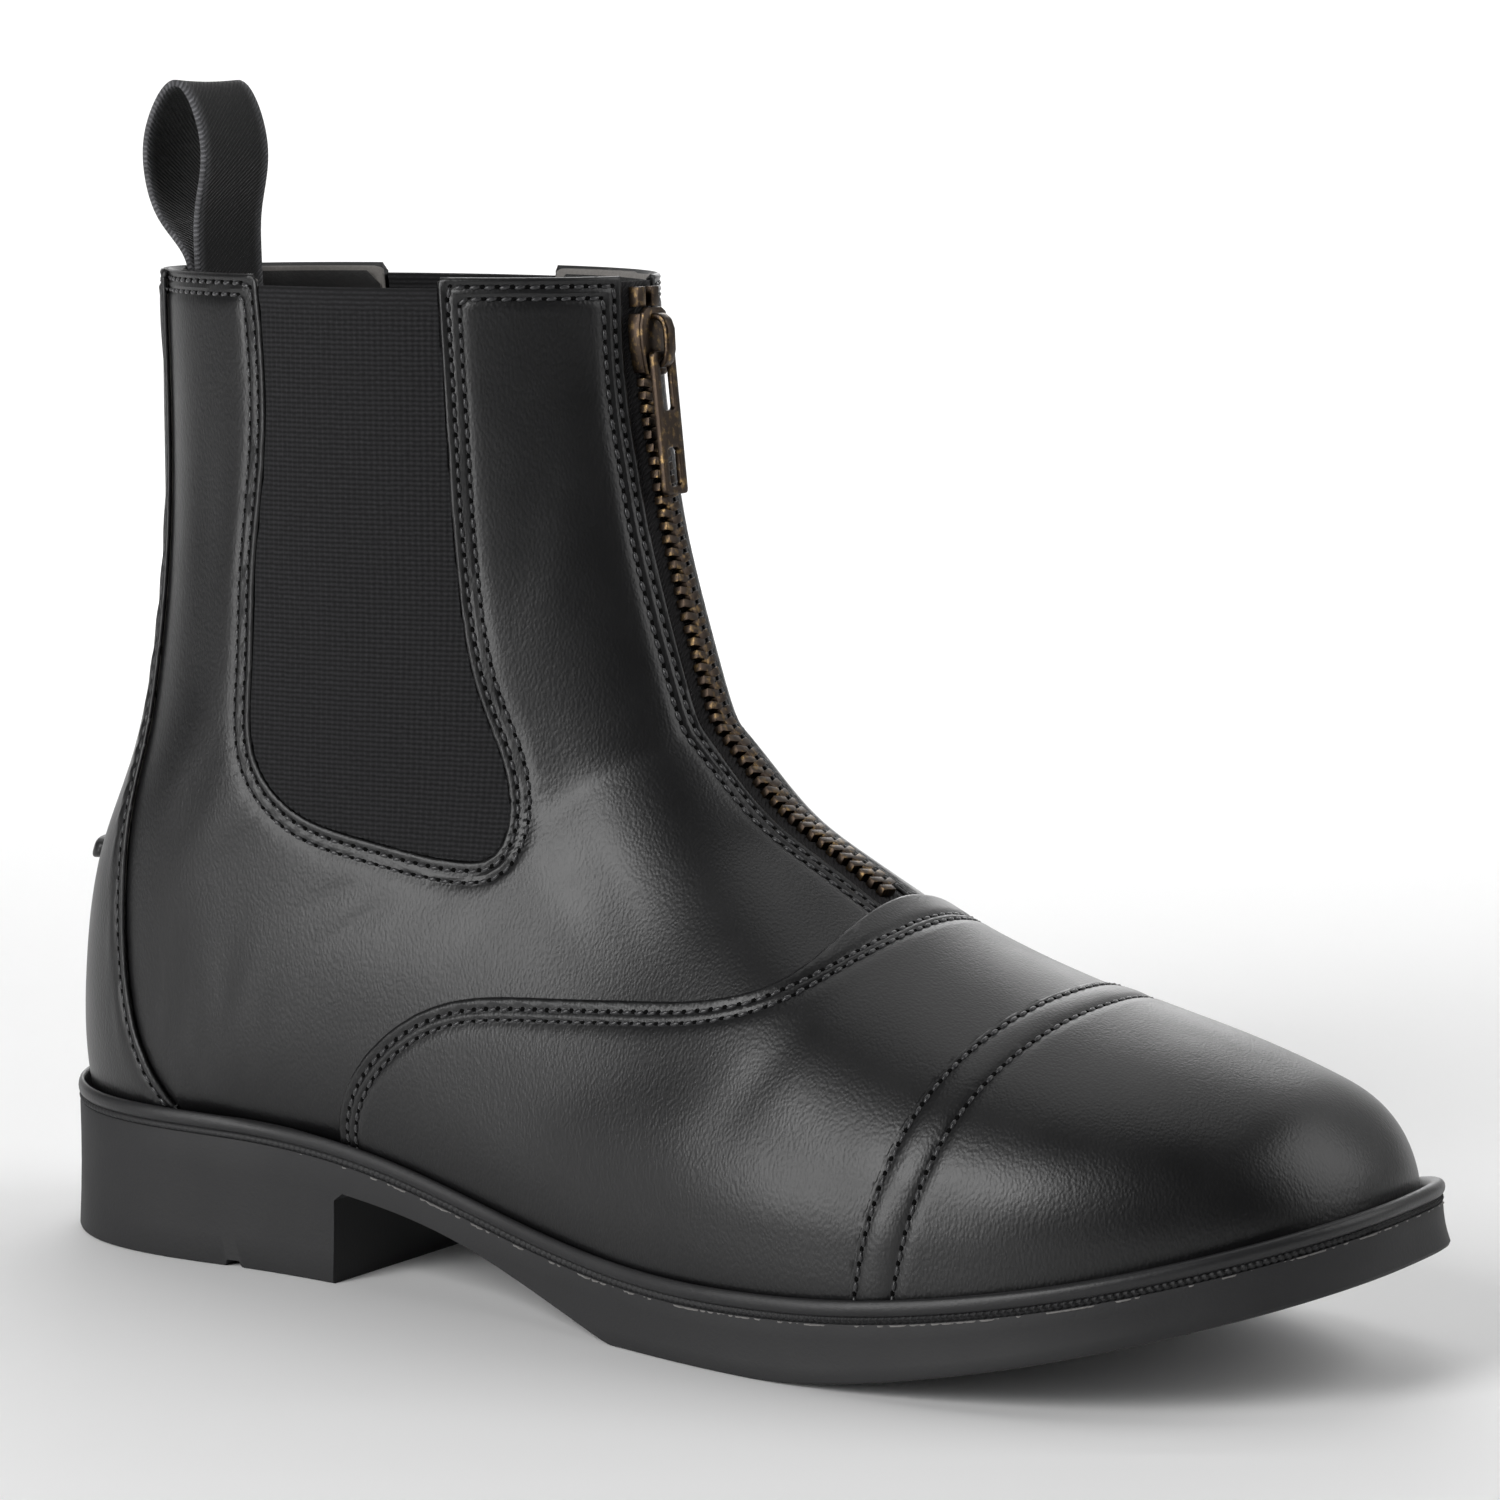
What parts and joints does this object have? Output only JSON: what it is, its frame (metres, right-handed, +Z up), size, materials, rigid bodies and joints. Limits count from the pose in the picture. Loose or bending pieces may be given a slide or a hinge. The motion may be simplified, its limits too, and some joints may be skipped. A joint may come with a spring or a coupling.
{
  "type": "jodhpur boot",
  "caption": "Ankle-high riding boot with a front zip, elastic side gussets, a capped toe, a low block heel and a webbing loop at the back for pulling it on.",
  "frame": {"origin": "on the floor, under the middle of the boot's box", "axes": "+X towards the toe, -Y towards the outer side of a right foot, +Z up"},
  "size_m": [0.2806, 0.1014, 0.2204],
  "materials": {
    "leather": "smooth black leather with a fine grain, half gloss",
    "sole": "matte black rubber",
    "elastic": "black ribbed elastic",
    "webbing": "black woven tape",
    "lining": "dark lining cloth",
    "zip_metal": "antique brass, worn bright at the edges"
  },
  "bodies": {
    "boot": {"outsole": "sole", "welt": "sole", "insole": "lining", "upper": "leather", "vamp": "leather", "toe_cap": "leather", "back_strip": "leather", "spur_rest": "leather", "gusset_outer": "elastic", "gusset_inner": "elastic", "pull_loop": "webbing", "zip_tape": "webbing", "zip_teeth": "zip_metal", "zip_slider": "zip_metal"},
    "zip_pull": {"zip_pull": "zip_metal"}
  },
  "joints": [
    {"name": "zip_pull_hinge", "type": "hinge", "parent": "boot", "child": "zip_pull", "pos_m": [-0.01032, -0.0001, 0.17181], "axis": [0, -1, 0], "range_deg": [0, 150]}
  ]
}
